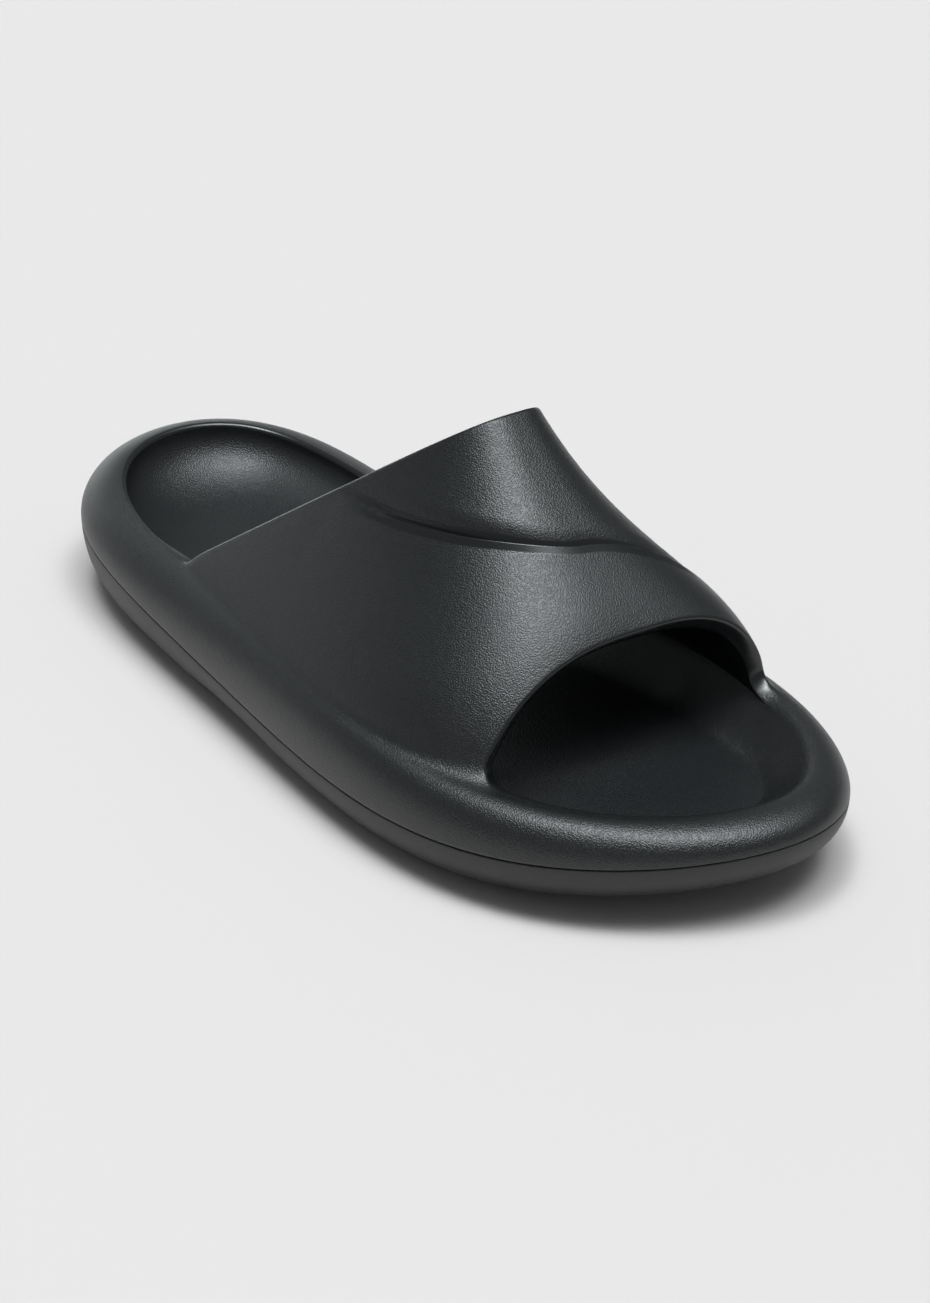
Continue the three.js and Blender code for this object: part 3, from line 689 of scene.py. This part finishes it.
def footbed_surface(shape):
    """Dish inside the lip: wall loops from the floor up to the seam, a plug below, and a floor of strips."""
    stations = round_stations()
    corners = Corners()
    wall = [corners.add(dish(stations, share, shape)) for share in np.linspace(1.0, 0.0, WALL_STEPS + 1)]
    plug_z = recess_height(stations, shape) + PIECE_GAP
    plug = corners.add(place(stations, seam_inset(stations, shape), plug_z))
    sides = bands(np.array([*wall, plug]))
    top = floor_faces(corners, wall[0], FLOOR_COLUMNS, lambda strip: floor_height(strip, shape))
    bottom = floor_faces(corners, plug, PLUG_COLUMNS, level)
    return closed_surface(corners, sides, top, bottom, wall[-1])


def ground_height(s, shape):
    """Underside of the sole: flat below heel and ball, lifted at the waist by a smooth step up and down, and
    rolled up at heel and toe by a power of the way past their start."""
    toe = np.clip((s - SPRING_START) / (1.0 - SPRING_START), 0.0, 1.0)
    heel = np.clip((HEEL_ROLL_END - s) / HEEL_ROLL_END, 0.0, 1.0)
    waist = ramp(s, WAIST_START) * ramp(s, WAIST_END)
    spring = shape.toe_spring / MM * toe**SPRING_POWER
    return spring + shape.heel_roll / MM * heel**2 + shape.waist_rise / MM * waist


def tread_stations(shape):
    """Places along the sole, the grooves' edges among them, with 1 where the tread is cut, else 0."""
    pitch, half = shape.tread_pitch / MM, shape.tread_groove / MM / 2.0
    edges = ((-half - TREAD_DRAFT, 0.0), (-half, 1.0), (half, 1.0), (half + TREAD_DRAFT, 0.0))
    places, cuts = [], []
    for start, end in TREAD_FIELDS:
        grooves = int((end - start) * SHOE_LENGTH // pitch)
        centres = (start + end) / 2.0 * SHOE_LENGTH + (np.arange(grooves) - (grooves - 1) / 2.0) * pitch
        for offset, cut in edges:
            places.append(centres + offset)
            cuts.append(np.full(grooves, cut))
    places, cuts = np.concatenate(places), np.concatenate(cuts)
    between = SHOE_LENGTH * along(np.linspace(0.0, math.pi, SOLE_STATIONS + 1)[1:-1])
    clear = np.abs(between[:, None] - places[None, :]).min(axis=1) > STATION_ROOM
    inside = np.abs(between[:, None] - places[None, cuts > 0.0]).min(axis=1) < 2.0 * half
    between = between[clear & ~inside]
    places = np.concatenate([places, between])
    cuts = np.concatenate([cuts, np.zeros(len(between))])
    order = places.argsort()
    return angle_at(places[order] / SHOE_LENGTH), cuts[order]


def outsole_surface(shape):
    """Tray below the parting line: recess, shelf, rounded brow, undercut side, and the tread with its
    grooves. Brow and side are quarter-rounds."""
    marks, cuts = tread_stations(shape)
    stations = np.concatenate([[0.0], marks, [math.pi], 2.0 * math.pi - marks[::-1]])
    cut = np.concatenate([[0.0], cuts, [0.0], cuts[::-1]])
    corners = Corners()
    s = along(stations)
    shelf = parting_height(s) - PIECE_GAP / 2.0
    ground = ground_height(s, shape)
    wall = seam_inset(stations, shape) - RECESS_ROOM
    undercut = shape.side_undercut / MM
    border = undercut + TREAD_BORDER
    drop = shelf - PARTING_ROUND - ground
    profile = [(wall, recess_height(stations, shape)), (wall, shelf), (PARTING_ROUND, shelf)]
    for angle in np.linspace(0.0, math.pi / 2.0, BROW_STEPS + 1)[1:]:
        inset = PARTING_ROUND * (1.0 - math.sin(angle))
        profile.append((inset, shelf - PARTING_ROUND * (1.0 - math.cos(angle))))
    for angle in np.linspace(0.0, math.pi / 2.0, SIDE_STEPS + 1)[1:]:
        inset = undercut * (1.0 - math.cos(angle))
        profile.append((inset, shelf - PARTING_ROUND - drop * math.sin(angle)))
    profile.append((border, ground))
    profile.append((border + TREAD_DRAFT, ground + shape.tread_depth / MM * cut))
    loops = [corners.add(place(stations, inset, z)) for inset, z in profile]
    top = floor_faces(corners, loops[0], PLUG_COLUMNS, level)
    bottom = floor_faces(corners, loops[-1], PLUG_COLUMNS, level)
    return closed_surface(corners, bands(np.array(loops)), top, bottom, np.empty(0, dtype=int))


# Foam skin. Scales are per metre, or per pebble for the fine noise.
FOAM_IOR = 1.5
WANDER_SCALE = 400.0
WANDER_DETAIL = 2.0
WANDER_REACH = 0.0006
CELL_SMOOTHNESS = 0.35
CELL_CORE = 0.15
CELL_RIM = 0.75
FINE_SCALE = 2.2
FINE_DETAIL = 3.0
FINE_SHARE = 0.5
BARE_GRAIN = 0.1
SLOW_SCALE = 38.0
SLOW_DETAIL = 3.0
GLOSS_SWING = 0.03
TONE_SWING = 0.1


def add_node(tree, kind, values=None, **settings):
    """Adds a node with its settings, then the values of its inputs, which go by name or number."""
    node = tree.nodes.new(kind)
    for name, setting in settings.items():
        setattr(node, name, setting)
    for key, value in (values or {}).items():
        node.inputs[key].default_value = value
    return node


def foam_material(node, look):
    """Moulded foam with a pebbled skin. Rounded cells on wandering places plus fine noise make the bump,
    and slow noise varies gloss and tone a little. Where the skin is bare the bump fades and gloss rises."""
    colour, roughness, grain = (getattr(look, f"{node}_{part}") for part in ("colour", "roughness", "grain"))
    material = bpy.data.materials.new(f"{node}_foam")
    material.use_nodes = True
    tree = material.node_tree
    link = tree.links.new
    shader = tree.nodes["Principled BSDF"]
    shader.inputs["Specular IOR Level"].default_value = look.gloss
    shader.inputs["IOR"].default_value = FOAM_IOR

    where = add_node(tree, "ShaderNodeTexCoord").outputs["Object"]
    wander = add_node(tree, "ShaderNodeTexNoise", {"Scale": WANDER_SCALE, "Detail": WANDER_DETAIL})
    bend = add_node(tree, "ShaderNodeVectorMath", {1: (WANDER_REACH,) * 3}, operation="MULTIPLY_ADD")
    link(where, wander.inputs["Vector"])
    link(wander.outputs["Color"], bend.inputs[0])
    link(where, bend.inputs[2])

    cell_values = {"Scale": 1.0 / look.grain_size, "Smoothness": CELL_SMOOTHNESS}
    cells = add_node(tree, "ShaderNodeTexVoronoi", cell_values, feature="SMOOTH_F1")
    link(bend.outputs[0], cells.inputs["Vector"])
    fine_values = {"Scale": FINE_SCALE / look.grain_size, "Detail": FINE_DETAIL}
    fine = add_node(tree, "ShaderNodeTexNoise", fine_values)
    link(where, fine.inputs["Vector"])

    pebble_values = {"From Min": CELL_CORE, "From Max": CELL_RIM, "To Min": 1.0, "To Max": 0.0}
    pebble = add_node(tree, "ShaderNodeMapRange", pebble_values, interpolation_type="SMOOTHSTEP")
    link(cells.outputs["Distance"], pebble.inputs["Value"])
    both = add_node(tree, "ShaderNodeMath", {1: FINE_SHARE}, operation="MULTIPLY_ADD")
    link(fine.outputs["Fac"], both.inputs[0])
    link(pebble.outputs["Result"], both.inputs[2])
    skin = add_node(tree, "ShaderNodeAttribute", attribute_name="bare").outputs["Fac"]
    grained = add_node(tree, "ShaderNodeMapRange", {"To Min": grain, "To Max": BARE_GRAIN * grain})
    link(skin, grained.inputs["Value"])
    bump = add_node(tree, "ShaderNodeBump", {"Distance": look.grain_depth})
    link(grained.outputs["Result"], bump.inputs["Strength"])
    link(both.outputs[0], bump.inputs["Height"])
    link(bump.outputs["Normal"], shader.inputs["Normal"])

    slow = add_node(tree, "ShaderNodeTexNoise", {"Scale": SLOW_SCALE, "Detail": SLOW_DETAIL})
    link(where, slow.inputs["Vector"])
    gloss_values = {"To Min": roughness - GLOSS_SWING, "To Max": roughness + GLOSS_SWING}
    gloss = add_node(tree, "ShaderNodeMapRange", gloss_values)
    link(slow.outputs["Fac"], gloss.inputs["Value"])
    polish = add_node(tree, "ShaderNodeMapRange", {"To Min": 1.0, "To Max": look.edge_polish})
    link(skin, polish.inputs["Value"])
    polished = add_node(tree, "ShaderNodeMath", operation="MULTIPLY")
    link(gloss.outputs["Result"], polished.inputs[0])
    link(polish.outputs["Result"], polished.inputs[1])
    link(polished.outputs[0], shader.inputs["Roughness"])
    dark = (*[(1.0 - TONE_SWING) * c for c in colour], 1.0)
    light = (*[(1.0 + TONE_SWING) * c for c in colour], 1.0)
    tone = add_node(tree, "ShaderNodeMix", {"A": dark, "B": light}, data_type="RGBA")
    link(slow.outputs["Fac"], tone.inputs["Factor"])
    link(tone.outputs["Result"], shader.inputs["Base Color"])
    return material


# Azimuth and elevation in degrees of the middle of each soft light, and the power that narrows it
LIGHT_COLUMNS = ("azimuth", "elevation", "narrowness")
LIGHT_ROWS = {
    "overhead": (-121.0, 84.0, 74.0),
    "side": (28.0, 73.0, 60.0),
    "backdrop": (166.0, -17.0, 13.5),
}
LIGHTS = {name: dict(zip(LIGHT_COLUMNS, row)) for name, row in LIGHT_ROWS.items()}

# Camera frame in millimetres and sight in metres, and the finish of the floor's paper
SENSOR_WIDTH = 36.0
SIGHT = 100.0
PAPER_ROUGHNESS = 0.9
PAPER_GLOSS = 0.1


def aim(azimuth, elevation):
    """Unit vector at an azimuth and an elevation in radians."""
    flat = math.cos(elevation)
    return Vector((flat * math.cos(azimuth), flat * math.sin(azimuth), math.sin(elevation)))


def soft_light(studio):
    """World of soft light: an even surround plus three lights, each its strength times a power of the
    cosine of the angle to its middle."""
    world = bpy.data.worlds.new("studio")
    world.use_nodes = True
    tree = world.node_tree
    link = tree.links.new
    where = add_node(tree, "ShaderNodeTexCoord").outputs["Generated"]
    total = None
    for name, light in LIGHTS.items():
        middle = aim(math.radians(light["azimuth"]), math.radians(light["elevation"]))
        cosine = add_node(tree, "ShaderNodeVectorMath", {1: middle}, operation="DOT_PRODUCT")
        link(where, cosine.inputs[0])
        front = add_node(tree, "ShaderNodeMath", {1: 0.0}, operation="MAXIMUM")
        link(cosine.outputs["Value"], front.inputs[0])
        power = add_node(tree, "ShaderNodeMath", {1: light["narrowness"]}, operation="POWER")
        link(front.outputs[0], power.inputs[0])
        sum_values = {1: getattr(studio, name), 2: studio.surround}
        lit = add_node(tree, "ShaderNodeMath", sum_values, operation="MULTIPLY_ADD")
        link(power.outputs[0], lit.inputs[0])
        if total is not None:
            link(total, lit.inputs[2])
        total = lit.outputs[0]
    background = tree.nodes["Background"]
    link(total, background.inputs["Strength"])
    background.inputs["Color"].default_value = (*studio.light_colour, 1.0)
    return world


def make_camera(studio):
    """Camera that looks at the target from its azimuth, elevation and distance."""
    lens = bpy.data.cameras.new("camera")
    lens.lens = studio.lens
    lens.sensor_width = SENSOR_WIDTH
    lens.sensor_fit = "AUTO"
    lens.clip_end = SIGHT
    camera = bpy.data.objects.new("camera", lens)
    away = aim(studio.azimuth, studio.elevation) * studio.distance
    camera.location = Vector(studio.target) + away
    camera.rotation_euler = away.to_track_quat("Z", "Y").to_euler()
    bpy.context.collection.objects.link(camera)
    return camera


def make_floor(studio):
    """Plain square of matt paper."""
    half = studio.floor_reach
    mesh = bpy.data.meshes.new("floor")
    square = [(-half, -half, 0), (half, -half, 0), (half, half, 0), (-half, half, 0)]
    mesh.from_pydata(square, [], [(0, 1, 2, 3)])
    floor = bpy.data.objects.new("floor", mesh)
    bpy.context.collection.objects.link(floor)
    paper = bpy.data.materials.new("floor_paper")
    paper.use_nodes = True
    shader = paper.node_tree.nodes["Principled BSDF"]
    shader.inputs["Base Color"].default_value = (*studio.floor_colour, 1.0)
    shader.inputs["Roughness"].default_value = PAPER_ROUGHNESS
    shader.inputs["Specular IOR Level"].default_value = PAPER_GLOSS
    mesh.materials.append(paper)


def length_property(name, description, default):
    """A length in metres."""
    return FloatProperty(
        name=name, description=description, default=default, min=0.0, precision=5, unit="LENGTH"
    )


def share_property(name, description, default):
    """A share from 0 to 1."""
    return FloatProperty(
        name=name, description=description, default=default, min=0.0, max=1.0, subtype="FACTOR"
    )


def strength_property(name, description, default):
    """Strength of a light."""
    return FloatProperty(name=name, description=description, default=default, min=0.0)


def angle_property(name, description, degrees):
    """An angle, given in degrees."""
    return FloatProperty(
        name=name, description=description, default=math.radians(degrees), subtype="ANGLE"
    )


def colour_property(name, description, default):
    """A colour."""
    return FloatVectorProperty(name=name, description=description, default=default, subtype="COLOR")


class SlideShape(bpy.types.PropertyGroup):
    """Sizes of the pieces."""

    strap_wall: length_property("Strap wall", "Thickness of the strap", 0.005)
    strap_foot: length_property("Strap foot", "Thickness where the strap stands on the rim", 0.0046)
    foot_fillet: length_property("Foot fillet", "Reach of the soft corner between strap and rim", 0.004)
    edge_round: length_property("Edge round", "Depth of the strap's rounded edges", 0.0013)
    crease_depth: length_property("Crease depth", "Depth of the groove across the strap", 0.0019)
    crease_roll: length_property("Crease roll", "Breadth of the rear panel's rolled edge", 0.0065)
    crease_ridge: length_property("Crease ridge", "Height of the ridge over the rear panel", 0.0012)
    crease_rise: length_property("Crease rise", "Breadth of the step from groove to ridge", 0.001)
    crease_bevel: length_property("Crease bevel", "Breadth of the bevel in front of the ridge", 0.0022)
    crease_bevel_drop: length_property("Crease bevel drop", "Fall of that bevel", 0.0004)
    crease_fade: length_property("Crease fade", "Length over which the front panel sinks back", 0.034)
    heel_lip: length_property("Heel lip", "Breadth of the lip behind the strap", 0.0016)
    toe_lip: length_property("Toe lip", "Breadth of the lip in front of the strap", 0.004)
    lip_fade: length_property("Lip fade", "Length over which the lip changes its breadth", 0.024)
    lip_drop: length_property("Lip drop", "Step from the rim's crest to the footbed", 0.0014)
    heel_focus: share_property("Heel focus", "Share of the length where the heel's dish lines meet", 0.17)
    toe_focus: share_property("Toe focus", "Share of the length where the toe's dish lines meet", 0.82)
    footbed_thickness: length_property("Footbed thickness", "Least thickness of the footbed", 0.005)
    arch_support: length_property("Arch support", "Height of the footbed's arch support", 0.0025)
    toe_ridge: length_property("Toe ridge", "Height of the ridge under the toes", 0.0008)
    toe_ridge_breadth: length_property("Toe ridge breadth", "Reach of the ridge under the toes", 0.007)
    toe_spring: length_property("Toe spring", "Height of the toe's underside off the floor", 0.009)
    heel_roll: length_property("Heel roll", "Height of the heel's underside off the floor", 0.0015)
    waist_rise: length_property("Waist rise", "Height of the waist's underside off the floor", 0.0015)
    side_undercut: length_property("Side undercut", "How far the sole's side draws in", 0.012)
    tread_pitch: length_property("Tread pitch", "Distance between the sole's grooves", 0.013)
    tread_groove: length_property("Tread groove", "Breadth of the sole's grooves", 0.003)
    tread_depth: length_property("Tread depth", "Depth of the sole's grooves", 0.002)


class SlideLook(bpy.types.PropertyGroup):
    """Colours and finish of the foam."""

    upper_colour: colour_property("Upper colour", "Foam of rim and strap", (0.0066, 0.0077, 0.0083))
    upper_roughness: share_property("Upper roughness", "Roughness of rim and strap", 0.37)
    upper_grain: share_property("Upper grain", "Strength of the grain on rim and strap", 0.8)
    footbed_colour: colour_property("Footbed colour", "Foam of the footbed", (0.0062, 0.0073, 0.0084))
    footbed_roughness: share_property("Footbed roughness", "Roughness of the footbed", 0.39)
    footbed_grain: share_property("Footbed grain", "Strength of the grain on the footbed", 0.9)
    outsole_colour: colour_property("Outsole colour", "Foam of the outsole", (0.0078, 0.0083, 0.0102))
    outsole_roughness: share_property("Outsole roughness", "Roughness of the outsole", 0.5)
    outsole_grain: share_property("Outsole grain", "Strength of the grain on the outsole", 0.4)
    gloss: share_property("Gloss", "Strength of the reflection", 0.68)
    edge_polish: share_property("Edge polish", "Roughness of moulded edges, as a share of the skin's", 0.7)
    grain_size: length_property("Grain size", "Breadth of a pebble of the skin", 0.00042)
    grain_depth: length_property("Grain depth", "Height of the pebbles", 0.00006)


class SlideStudio(bpy.types.PropertyGroup):
    """Camera, floor and light."""

    azimuth: angle_property("Camera azimuth", "Direction of the camera round the shoe", -37.03)
    elevation: angle_property("Camera elevation", "Height of the camera as an angle", 28.71)
    distance: length_property("Camera distance", "From the camera to the middle of the shoe", 0.7406)
    lens: FloatProperty(name="Lens", description="Focal length of the camera", default=75.9, unit="CAMERA")
    target: FloatVectorProperty(
        name="Target",
        description="Middle of the picture",
        default=(0.0302, -0.0059, 0.03),
        subtype="TRANSLATION",
    )
    floor_reach: length_property("Floor reach", "Half of the floor's breadth", 30.0)
    floor_colour: colour_property("Floor colour", "Pale floor", (0.684, 0.643, 0.629))
    light_colour: colour_property("Light colour", "Tint of all the light", (0.94, 0.995, 1.02))
    surround: strength_property("Surround", "Even light from all around", 0.2)
    overhead: strength_property("Overhead light", "Strength of the soft light above", 23.0)
    side: strength_property("Side light", "Strength of the soft light on the inner side", 15.0)
    backdrop: strength_property("Backdrop light", "Strength of the low light behind the heel", 6.5)


class SLIDE_OT_upper(bpy.types.Operator):
    """Makes the rim and the strap"""

    bl_idname = "slide.upper"
    bl_label = "Rim and strap"

    def execute(self, context):
        foam = foam_material("upper", context.scene.slide_look)
        surface = upper_surface(context.scene.slide_shape)
        make_piece("rim_and_strap", surface, foam, "upper")
        return {"FINISHED"}


class SLIDE_OT_footbed(bpy.types.Operator):
    """Makes the dished footbed"""

    bl_idname = "slide.footbed"
    bl_label = "Footbed"

    def execute(self, context):
        foam = foam_material("footbed", context.scene.slide_look)
        surface = footbed_surface(context.scene.slide_shape)
        make_piece("footbed_dish", surface, foam, "footbed")
        return {"FINISHED"}


class SLIDE_OT_outsole(bpy.types.Operator):
    """Makes the outsole with its tread"""

    bl_idname = "slide.outsole"
    bl_label = "Outsole"

    def execute(self, context):
        foam = foam_material("outsole", context.scene.slide_look)
        surface = outsole_surface(context.scene.slide_shape)
        make_piece("outsole_with_tread", surface, foam, "outsole")
        return {"FINISHED"}


class SLIDE_OT_studio(bpy.types.Operator):
    """Sets up camera, floor and light"""

    bl_idname = "slide.studio"
    bl_label = "Studio"

    def execute(self, context):
        studio = context.scene.slide_studio
        context.scene.camera = make_camera(studio)
        make_floor(studio)
        context.scene.world = soft_light(studio)
        context.scene.view_settings.view_transform = "Standard"
        return {"FINISHED"}


class SLIDE_PT_panel(bpy.types.Panel):
    """Lists the pieces and their sizes"""

    bl_label = "Slide sandal"
    bl_idname = "SLIDE_PT_panel"
    bl_space_type = "VIEW_3D"
    bl_region_type = "UI"
    bl_category = "Slide"

    def draw(self, context):
        for operator in (SLIDE_OT_upper, SLIDE_OT_footbed, SLIDE_OT_outsole, SLIDE_OT_studio):
            self.layout.operator(operator.bl_idname)
        for group in (context.scene.slide_shape, context.scene.slide_look, context.scene.slide_studio):
            for name in group.bl_rna.properties.keys():
                if name not in {"rna_type", "name"}:
                    self.layout.prop(group, name)


CLASSES = (
    SlideShape,
    SlideLook,
    SlideStudio,
    SLIDE_OT_upper,
    SLIDE_OT_footbed,
    SLIDE_OT_outsole,
    SLIDE_OT_studio,
    SLIDE_PT_panel,
)


def register():
    """Adds the classes and the scene's groups of values."""
    for cls in CLASSES:
        bpy.utils.register_class(cls)
    bpy.types.Scene.slide_shape = PointerProperty(type=SlideShape)
    bpy.types.Scene.slide_look = PointerProperty(type=SlideLook)
    bpy.types.Scene.slide_studio = PointerProperty(type=SlideStudio)


def unregister():
    """Takes away what register adds."""
    del bpy.types.Scene.slide_studio
    del bpy.types.Scene.slide_look
    del bpy.types.Scene.slide_shape
    for cls in reversed(CLASSES):
        bpy.utils.unregister_class(cls)


def main():
    """Makes the studio and the pieces."""
    register()
    bpy.ops.slide.studio()
    bpy.ops.slide.upper()
    bpy.ops.slide.footbed()
    bpy.ops.slide.outsole()


if __name__ == "__main__":
    main()
